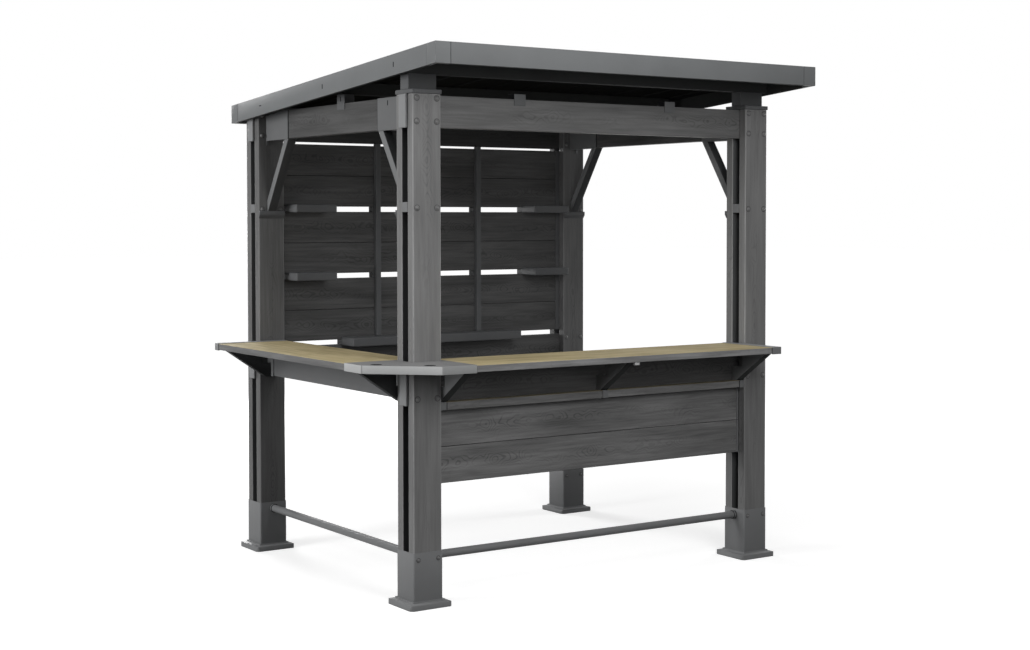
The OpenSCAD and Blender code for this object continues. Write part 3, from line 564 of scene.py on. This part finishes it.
# CAD node: material, slot, rounding of its edges, other materials, which faces take them, and the rounding
# of its upright edges
folded = {
    # The boots take the lighter copy of the grey steel: painted light
    "boot_sleeves": (footLitSteel, "smooth_steel", 0.0008),
    "boot_bases": (footLitSteel, "smooth_steel", 0.003),
    "post_caps": (dimShadeSteel, "smooth_steel", 0.003),
    # The beam brackets take the darker copy: painted shade under the roof
    "beam_brackets": (plateShadeSteel, "smooth_steel", 0.001),
    # The braces' fronts take the darker shade steel: painted shade
    "knee_braces": (greySteel, "smooth_steel", 0.003, [paintedShadeSteel], frontSide),
    "brace_foot_brackets": (dimShadeSteel, "smooth_steel", 0.002),
    # The fascia's inner faces and underside take the near black steel: painted shade
    "fascia_boards": (fasciaSteel, "roof_paint", 0.001, [deepShadeSteel], innerSide),
    "fascia_corners": (fasciaSteel, "roof_paint", 0.0015),
    # The front roof rail and the cross rail take the near black steel: painted shade under the roof
    "front_roof_rail": (deepShadeSteel, "smooth_steel", 0.002),
    "cross_rail": (deepShadeSteel, "smooth_steel", 0.002),
    # The back roof rail takes the darker shade steel: painted shade under the roof
    "back_roof_rail": (paintedShadeSteel, "smooth_steel", 0.001),
    # The clips' left and right sides take the near black steel: painted shade
    "beam_clips": (dimShadeSteel, "smooth_steel", 0.001, [darkJointShadeSteel], frontClipSide),
    # The corner's top and front take darker copies: painted shade, which leaves the pale chamfer as a painted
    # highlight
    "counter_corner": (paleHighlightSteel, "smooth_steel", 0.0025, [cornerTopShadeSteel, cornerRimShadeSteel],
                       topOrFrontSide, 0.014),
    # The ends' sides take the lighter copy and their fronts the plain grey: painted light on the sides
    "counter_ends": (capLitSteel, "smooth_steel", 0.002, [greySteel], frontSide),
    # The webs take the lighter cap steel and the sloping flanges near black: painted light on the webs, painted
    # shade on the flanges
    "front_gussets": (capLitSteel, "smooth_steel", 0.0008, [deepShadeSteel], slopeSide),
    # The gussets take the darker shade steel, near black on the sloping flanges: painted shade
    "side_gussets": (paintedShadeSteel, "smooth_steel", 0.0008, [deepShadeSteel], leftSlopeSide),
    "apron_brackets": (greySteel, "smooth_steel", 0.001),
}
for node, (material, slot, width, *second) in folded.items():
    roundedCopy(node + "_folded", node, width, material, slot, *second)


def softened(outline, radius):
    # Each corner of a closed outline gives way to three points: one on the side before it and one on
    # the side after it, both at the radius from it, and the middle of the curve between them
    before, after = np.roll(outline, 1, 0) - outline, np.roll(outline, -1, 0) - outline
    start = outline + radius * before / np.linalg.norm(before, axis=1, keepdims=True)
    end = outline + radius * after / np.linalg.norm(after, axis=1, keepdims=True)
    return np.stack([start, (start + 2 * outline + end) / 4, end], 1).reshape(-1, 2)


def ribbedSheet(lo, hi, middleX, look):
    # An outline across the roof, flat with a trapezoid for each rib on its top and a narrower one let
    # into its underside, carried from the front edge down to the back edge
    count = int((hi[0] - lo[0] - look["ribWidth"]) / look["pitch"] / 2)
    ribs = middleX + np.arange(-count, count + 1)[:, None] * look["pitch"]
    foot = np.array([-1, -0.5, 0.5, 1]) * look["ribWidth"] / 2
    rise = np.array([0, 1, 1, 0]) * look["ribHeight"]
    inner = foot - np.sign(foot) * look["flank"]
    over = np.stack([(ribs + foot).ravel(), np.tile(rise, len(ribs)) + look["thickness"]], -1)
    under = np.stack([(ribs + inner).ravel(), np.tile(rise, len(ribs))], -1)
    outline = np.concatenate([[(lo[0], look["thickness"])], over, [(hi[0], look["thickness"])],
                              [(hi[0], 0)], under[::-1], [(lo[0], 0)]])
    outline = softened(outline, look["edge"])
    frontUnder = hi[2] - look["thickness"] - look["ribHeight"] - look["clear"]
    rings = np.empty((2, len(outline), 3))
    rings[..., 0] = outline[:, 0]
    rings[..., 1] = [[lo[1]], [hi[1]]]
    rings[..., 2] = outline[:, 1] + [[frontUnder], [lo[2]]]
    uvs = np.repeat(rings[:1, :, None, :2], 4, 2)
    return shapeFromRings(rings, uvs, rings[0, :, :2])


roofShape = {"thickness": 0.004, "ribHeight": 0.014, "ribWidth": 0.040, "pitch": 0.190, "flank": 0.002,
             "edge": 0.001, "clear": 0.0001}
lo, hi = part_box("roof_sheet")
postLo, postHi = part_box("front_left_post")[0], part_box("front_right_post")[1]
roofPiece = makePiece("roof_sheet_folded", [ribbedSheet(lo, hi, (postLo[0] + postHi[0]) / 2, roofShape)],
                      roofSteel, "roof_paint", "roof_sheet")
# The faces that look down take the darker underside steel: painted shade
otherMaterials(roofPiece, [undersideShadeSteel], underSide)
print("stage: posts, boards and folded pieces made")


# Seams beside the roof's corner pieces: strips that stand proud by less than a millimetre
# Their dark is a painted shade line where the corner piece laps the fascia
seam = {"width": 0.0035, "sideWidth": 0.0016, "proud": 0.0004, "slope": 0.0765, "height": 0.0905,
        "below": 0.001, "edge": 0.0003}
shapes = []
lo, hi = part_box("fascia_boards")
for cornerLo, cornerHi in solidBoxes("fascia_corners"):
    left, front = cornerLo[0] < 0, cornerLo[1] < 0
    x0 = cornerHi[0] if left else cornerLo[0] - seam["width"]
    face, out = (lo[1], -seam["proud"]) if front else (hi[1], seam["proud"])
    top = hi[2] - seam["slope"] * (face - lo[1])
    shapes.append(board((x0, min(face - out, face + out), top - seam["height"]),
                        (x0 + seam["width"], max(face - out, face + out), top - seam["below"]),
                        2, seam["edge"]))
    y0 = cornerHi[1] if front else cornerLo[1] - seam["sideWidth"]
    face, out = (lo[0], -seam["proud"]) if left else (hi[0], seam["proud"])
    top = hi[2] - seam["slope"] * (y0 - lo[1])
    shapes.append(board((min(face - out, face + out), y0, top - seam["height"]),
                        (max(face - out, face + out), y0 + seam["sideWidth"], top - seam["below"]),
                        2, seam["edge"]))
makePiece("fascia_seams", shapes, paintedShadeSteel, "roof_paint")

# Dark lines where one folded piece laps over another
joint = {"width": 0.0045, "ledgeWidth": 0.003, "beamWidth": 0.0065, "proud": 0.0004, "below": 0.001,
         "counterBelow": 0.002, "edge": 0.0003}
shapes = []
for lo, hi in solidBoxes("beam_brackets"):
    for beamLo, beamHi in solidBoxes("side_beams"):
        if lo[0] * beamLo[0] > 0:  # the beam on the bracket's own side
            y0 = hi[1] if lo[1] < 0 else lo[1] - joint["beamWidth"]
            y1 = y0 + joint["beamWidth"]
            shapes.append(board((beamLo[0] - joint["proud"], y0, beamLo[2] + joint["below"]),
                                (beamHi[0] + joint["proud"], y1, beamHi[2] - joint["below"]), 2, joint["edge"]))
for (lo, hi), (topLo, topHi) in zip(sorted(solidBoxes("counter_ends"), key=lambda box: box[0][0]),
                                    (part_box("side_counter_top"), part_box("front_counter_top"))):
    if lo[0] < 0:
        shapes.append(board((topLo[0] - joint["proud"], lo[1] - joint["width"], topLo[2]),
                            (topHi[0] + joint["proud"], lo[1], topHi[2] - joint["counterBelow"]),
                            0, joint["edge"]))
    else:
        shapes.append(board((lo[0] - joint["width"], topLo[1] - joint["proud"], topLo[2]),
                            (lo[0], topHi[1] + joint["proud"], topHi[2] - joint["counterBelow"]),
                            1, joint["edge"]))
apronLo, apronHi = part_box("side_apron")
for lo, hi in solidBoxes("apron_brackets"):
    y0 = hi[1] if lo[1] < 0 else lo[1] - joint["width"]
    shapes.append(board((apronLo[0] - joint["proud"], y0, apronLo[2] + joint["below"]),
                        (apronHi[0] + joint["proud"], y0 + joint["width"], apronHi[2] - joint["below"]),
                        2, joint["edge"]))
for lo, hi in solidBoxes("ledge_ends"):
    x0 = hi[0] if lo[0] < 0 else lo[0] - joint["ledgeWidth"]
    shapes.append(board((x0, lo[1] - joint["proud"], lo[2] + joint["below"] / 2),
                        (x0 + joint["ledgeWidth"], hi[1], hi[2] - joint["below"]), 1, joint["edge"]))
makePiece("joint_lines", shapes, darkJointShadeSteel, "smooth_steel")

counter = {"print": 0.0016, "margin": 0.0022, "edge": 0.0022, "printEdge": 0.0005, "lap": 0.0003}
for node, axis, seed in (("front_counter_top", 0, 61), ("side_counter_top", 1, 63)):
    lo, hi = (np.array(corner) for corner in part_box(node))
    across = 1 - axis
    bodyHi = hi - [0, 0, counter["print"]]
    # The side counter's edge takes the darker copy of the edge steel: painted shade
    makePiece(node + "_body", [board(lo, bodyHi, axis, counter["edge"], seed)],
              pressedSideEdgeShade if axis else pressedEdge, "grained_steel", node)
    sheetLo = np.array([lo[0], lo[1], bodyHi[2] - counter["lap"]])
    sheetHi = hi.copy()
    sheetLo[across] += counter["margin"]
    sheetHi[across] -= counter["margin"]
    makePiece(node + "_print", [board(sheetLo, sheetHi, axis, counter["printEdge"], seed + 1)],
              oakPrint, "counter_board")

ledge = {"joint": 0.0022, "step": 0.0015, "print": 0.0014, "edge": 0.0025, "printEdge": 0.0006, "lap": 0.0004,
         "cover": 0.034, "coverEdge": 0.002, "coverTop": 0.0005, "proud": 0.0025}
lo, hi = (np.array(corner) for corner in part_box("front_ledge"))
middleX = (lo[0] + hi[0]) / 2
shapes, prints = [], []
for k, (x0, x1, drop) in enumerate(((lo[0], middleX - ledge["joint"], 0), (middleX, hi[0], ledge["step"]))):
    top = hi[2] - ledge["print"]
    shapes.append(board((x0, lo[1] + drop, lo[2] + drop), (x1, hi[1], top), 0, ledge["edge"], 71 + k))
    prints.append(board((x0, lo[1] + drop, top - ledge["lap"]), (x1, hi[1], hi[2]), 0,
                        ledge["printEdge"], 73 + k))
makePiece("front_ledge_body", shapes, pressedEdge, "grained_steel", "front_ledge")
# The ledge's print takes the darker, greyer copy: painted shade under the counter
makePiece("front_ledge_print", prints, ledgeShadeOakPrint, "counter_board")
makePiece("front_ledge_cover", [board((middleX + ledge["joint"], lo[1] - ledge["proud"], lo[2]),
                                      (middleX + ledge["cover"], hi[1], hi[2] + ledge["coverTop"]),
                                      0, ledge["coverEdge"])],
          greySteel, "smooth_steel")
print("stage: counters made")

shelf = {"edge": 0.006, "tongue": 0.0015, "tuck": 0.004, "tongueTop": 0.0307,
         "plateTop": {"corner_shelves": 0.041, "low_shelf": 0.045}}
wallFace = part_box("wall_boards")[0][1]
for node, seed in (("corner_shelves", 81), ("low_shelf", 91)):
    shapes = []
    for k, (lo, hi) in enumerate(solidBoxes(node)):
        plateTop = lo[2] + shelf["plateTop"][node]
        shapes.append(board(lo, (hi[0], wallFace, plateTop), 0, shelf["edge"], seed + k))
        shapes.append(board((lo[0], wallFace - shelf["tuck"], lo[2] + shelf["tuck"]),
                            (hi[0], hi[1], lo[2] + shelf["tongueTop"]), 0, shelf["tongue"], seed + k))
    # The shelves take the darker copy of the grey steel: painted shade
    makePiece(node + "_plates", shapes, dimShadeSteel, "smooth_steel", node)

rail = {"flare": 0.0012, "sides": 40}
shapes = []
for lo, hi in solidBoxes("foot_rails"):
    axis = int(np.argmax(hi - lo))
    radius = (hi - lo).min() / 2
    middle = (lo + hi) / 2
    middle[axis] = lo[axis]
    length = (hi - lo)[axis]
    shapes.append(turned([(radius - rail["flare"], 0), (radius, rail["flare"]),
                          (radius, length - rail["flare"]), (radius - rail["flare"], length)],
                         middle, axis, 1, rail["sides"]))
makePiece("foot_rail_tubes", shapes, footLitSteel, "smooth_steel", "foot_rails")

# Collars at both ends of the rails; each groove is a dark ring at the collar's end or beside the post
collar = {"lip": 0.002, "proud": 0.003, "bore": 0.6, "sides": 36}
groove = {"width": 0.0018, "proud": 0.0004, "bore": 0.9, "postSide": 0.0012, "back": 0.0005}
shapes, grooves = [], []
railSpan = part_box("foot_rails")
for lo, hi in solidBoxes("rail_collars"):
    axis = int(np.argmin(hi - lo))
    ringRadius = radius + collar["proud"]
    inward = 1 if abs(lo[axis] - railSpan[0][axis]) < abs(hi[axis] - railSpan[1][axis]) else -1
    middle = (lo + hi) / 2
    middle[axis] = lo[axis] if inward > 0 else hi[axis]
    length = (hi - lo)[axis]
    shapes.append(turned([(ringRadius, 0), (ringRadius, length - collar["lip"]),
                          (ringRadius - collar["lip"], length), (radius * collar["bore"], length)],
                         middle, axis, inward, collar["sides"]))
    outer, inner = ringRadius + groove["proud"], radius * groove["bore"]
    for place in (length, groove["postSide"]):
        foot = middle.copy()
        foot[axis] += inward * (place - groove["back"])
        grooves.append(turned([(inner, 0), (outer, 0), (outer, groove["width"]), (inner, groove["width"])],
                              foot, axis, inward, collar["sides"]))
makePiece("rail_collar_rings", shapes, footLitSteel, "smooth_steel", "rail_collars")
makePiece("rail_collar_grooves", grooves, darkJointShadeSteel, "smooth_steel")
print("stage: shelves and rails made")


def domeHead(radius, height, rim):
    # A straight rim, then nine tenths of a quarter of an ellipse up to a small flat crown
    turn = np.linspace(0, np.pi / 2 * 0.9, 6)
    dome = np.stack([radius * 0.8 * np.cos(turn), rim + height * np.sin(turn)], -1)
    return [(radius, 0), (radius, rim * 0.7), (radius * 0.95, rim), *dome.tolist()]


# Bolts on the fronts and backs of the posts, in rows at heights above the floor; those on the boot
# sleeves are smaller and stand on the sleeve
postBolt = {"inset": 0.020, "radius": 0.011, "height": 0.005, "rim": 0.0018, "sunk": 0.0004,
            "rows": (2.203, 2.103, 1.732, 0.212), "frontRow": 0.908, "backRow": 1.008,
            "sleeve": 0.0035, "sleeveShare": 0.72, "railClear": 0.065}
# The washer under each head is darker than the head: a painted shade ring
washer = {"radius": 0.0145, "height": 0.0012, "straight": 0.0009, "crown": 0.97}
railEnds = [(lo + hi) / 2 for lo, hi in solidBoxes("rail_collars")]
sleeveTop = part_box("boot_sleeves")[1][2]
shapes, washers = [], []
for node in postNodes:
    lo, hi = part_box(node)
    rows = (*postBolt["rows"], postBolt["frontRow" if node.startswith("front") else "backRow"])
    for z in rows:
        for x in (lo[0] + postBolt["inset"], hi[0] - postBolt["inset"]):
            for y, sign in ((lo[1], -1), (hi[1], 1)):
                if any(np.linalg.norm(end - (x, y, z)) < postBolt["railClear"] for end in railEnds):
                    continue
                low = z < sleeveTop
                share = postBolt["sleeveShare"] if low else 1.0
                foot = (x, y + sign * (postBolt["sleeve"] * low - postBolt["sunk"]), z)
                shapes.append(turned(domeHead(postBolt["radius"] * share, postBolt["height"] * share,
                                              postBolt["rim"]), foot, 1, sign))
                wide = washer["radius"] * share
                washers.append(turned([(wide, 0), (wide, washer["straight"]),
                                       (wide * washer["crown"], washer["height"])], foot, 1, sign))
makePiece("post_bolts", shapes, boltSteel, "smooth_steel")
makePiece("post_bolt_washers", washers, washerShadeSteel, "smooth_steel")

slotMark = {"width": 0.007, "height": 0.022, "proud": 0.0006, "sunk": 0.001, "turnedShare": 0.8, "edge": 0.0005}


def slotHead(x, y, z, sign, turnedOver=False):
    # A sunk screw's slot, seen from the side it faces; upright, or turned over to lie level
    # The mark stands proud; its dark is painted shade of the sunk slot
    inside, outside = x - sign * slotMark["sunk"], x + sign * slotMark["proud"]
    wide, high = slotMark["width"] / 2, slotMark["height"] / 2
    if turnedOver:
        wide, high = high, wide * slotMark["turnedShare"]
    return board((min(inside, outside), y - wide, z - high), (max(inside, outside), y + wide, z + high),
                 2, slotMark["edge"])


fasciaSlots = {"places": (-0.667, 0.002, 0.676), "slope": 0.0765, "down": 0.045}
bracketSlot = {"inset": 0.094, "down": 0.024, "clipDown": 0.022, "longClip": 0.07}
shapes = []
lo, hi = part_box("fascia_boards")
for y in fasciaSlots["places"]:
    height = hi[2] - fasciaSlots["slope"] * (y - lo[1]) - fasciaSlots["down"]
    level = y == fasciaSlots["places"][-1]
    shapes += [slotHead(lo[0], y, height, -1, level), slotHead(hi[0], y, height, 1, level)]
sunk = [(lo, hi, hi[1] - bracketSlot["inset"], bracketSlot["down"])
        for lo, hi in solidBoxes("beam_brackets") if lo[1] < 0]
sunk += [(lo, hi, (lo[1] + hi[1]) / 2, bracketSlot["clipDown"])
         for lo, hi in solidBoxes("beam_clips") if hi[1] - lo[1] > bracketSlot["longClip"]]
for lo, hi, y, down in sunk:
    left = lo[0] < 0
    shapes.append(slotHead(lo[0] if left else hi[0], y, hi[2] - down, -1 if left else 1))
makePiece("slotted_screws", shapes, darkJointShadeSteel, "smooth_steel")

# Dark discs on the counter corner's top stand in for the shade inside two shallow recesses: painted shade
recess = {"radius": 0.025, "places": ((-1.091, -0.735), (-0.925, -0.901)), "sunk": 0.001, "straight": 0.0002,
          "proud": 0.0004, "crown": 0.96, "sides": 32}
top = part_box("counter_corner")[1][2]
outline = [(recess["radius"], -recess["sunk"]), (recess["radius"], recess["straight"]),
           (recess["radius"] * recess["crown"], recess["proud"])]
shapes = [turned(outline, (x, y, top), 2, 1, recess["sides"]) for x, y in recess["places"]]
makePiece("counter_recesses", shapes, darkJointShadeSteel, "smooth_steel")
print("stage: bolts and screws made")


def seenRay(tree):
    # 1 for a ray from the camera, from gloss or through glass, and 0 for light that falls on the object
    path = addNode(tree, "ShaderNodeLightPath")
    seen = addNode(tree, "ShaderNodeMath", {0: path.outputs["Is Camera Ray"], 1: path.outputs["Is Glossy Ray"]},
                   operation="MAXIMUM")
    return addNode(tree, "ShaderNodeMath", {0: seen, 1: path.outputs["Is Transmission Ray"]},
                   operation="MAXIMUM")


studio = {"reach": 60.0, "glowFrom": 2.5, "glowTo": 7.0, "nearGlow": 0.62, "farGlow": 1.0,
          "floor": "#cfcfcf", "floorLight": "#1c1c1c", "white": "#ffffff", "sky": "#fafafa", "skyLight": 0.05}


def floorMaterial():
    # Plain white studio floor; the camera sees it near white with the object's shadow, and it throws
    # only a little light back up.
    # Surface: its own glow grows smoothly with the distance from the middle until it is plain white.
    material, tree = newMaterial("studioFloorWhite")
    place = addNode(tree, "ShaderNodeTexCoord")
    distance = addNode(tree, "ShaderNodeVectorMath", {0: place.outputs["Object"]}, operation="LENGTH")
    further = addNode(tree, "ShaderNodeMapRange", {"Value": distance.outputs["Value"],
                                                   "From Min": studio["glowFrom"], "From Max": studio["glowTo"],
                                                   "To Min": studio["nearGlow"], "To Max": studio["farGlow"]},
                      interpolation_type="SMOOTHSTEP")
    pale = addNode(tree, "ShaderNodeBsdfDiffuse", {"Color": linear(studio["floor"])})
    glow = addNode(tree, "ShaderNodeEmission", {"Color": linear(studio["white"]), "Strength": further})
    both = addNode(tree, "ShaderNodeAddShader", {0: pale, 1: glow})
    dull = addNode(tree, "ShaderNodeBsdfDiffuse", {"Color": linear(studio["floorLight"])})
    pick = addNode(tree, "ShaderNodeMixShader", {0: seenRay(tree), 1: dull, 2: both})
    addNode(tree, "ShaderNodeOutputMaterial", {"Surface": pick})
    return material


floorMesh = bpy.data.meshes.new("floor")
reach = studio["reach"]
floorMesh.from_pydata([(-reach, -reach, 0), (reach, -reach, 0), (reach, reach, 0), (-reach, reach, 0)], [],
                      [(0, 1, 2, 3)])
floor = bpy.data.objects.new("floor", floorMesh)
floorMesh.materials.append(floorMaterial())
bpy.context.scene.collection.objects.link(floor)

world = bpy.data.worlds.new("studio")
world.use_nodes = True
world.node_tree.nodes.clear()
tree = world.node_tree
sky = addNode(tree, "ShaderNodeBackground", {"Color": linear(studio["sky"]), "Strength": studio["skyLight"]})
white = addNode(tree, "ShaderNodeBackground", {"Color": linear(studio["white"]), "Strength": 1.0})
pick = addNode(tree, "ShaderNodeMixShader", {0: seenRay(tree), 1: sky, 2: white})
addNode(tree, "ShaderNodeOutputWorld", {"Surface": pick})
bpy.context.scene.world = world

lamps = {  # name: place, point it faces, size in metres, power in watts
    "leftLamp": ((-6.0, 0.8, 2.7), (-0.2, 0.0, 1.2), 2.0, 164),
    "lowLeftLamp": ((-6.0, 0.1, 1.35), (-0.4, -0.3, 0.9), 0.9, 55),
    "cornerLamp": ((-4.7, -2.6, 4.2), (-0.2, 0.0, 1.2), 2.0, 28),
    "frontLamp": ((-0.4, -3.9, 2.1), (-0.2, -0.3, 1.1), 1.5, 37),
    "nearLamp": ((-0.6, -3.55, 3.1), (-0.6, -0.6, 1.4), 1.4, 37),
    "topLamp": ((-1.9, -2.4, 6.4), (-0.2, 0.0, 1.2), 2.4, 78),
    "backLamp": ((0.0, 7.5, 2.1), (0.1, 0.0, 1.1), 2.2, 380),
    "rightLamp": ((6.4, 0.2, 2.0), (0.2, 0.0, 1.2), 2.0, 130),
}
for name, (place, target, size, power) in lamps.items():
    data = bpy.data.lights.new(name, "AREA")
    data.size = size
    data.energy = power
    lamp = bpy.data.objects.new(name, data)
    lamp.location = place
    lamp.visible_camera = False
    away = np.array(place) - np.array(target)
    lamp.rotation_euler = (math.acos(away[2] / np.linalg.norm(away)), 0,
                           math.atan2(away[1], away[0]) + math.pi / 2)
    bpy.context.scene.collection.objects.link(lamp)

view = {"place": (-4.4644, -6.9225, 1.6926), "down": 2.0907, "turn": 34.849, "lens": 58.065,
        "shift": (-0.04139, -0.04593)}
cameraData = bpy.data.cameras.new("camera")
cameraData.sensor_width = 36.0
cameraData.lens = view["lens"]
cameraData.shift_x, cameraData.shift_y = view["shift"]
cameraData.clip_end = 200.0
camera = bpy.data.objects.new("camera", cameraData)
camera.location = view["place"]
camera.rotation_euler = (math.radians(90 - view["down"]), 0, math.radians(-view["turn"]))
bpy.context.scene.collection.objects.link(camera)
bpy.context.scene.camera = camera
bpy.context.scene.view_settings.view_transform = "Standard"
print("stage: floor, light and camera made")
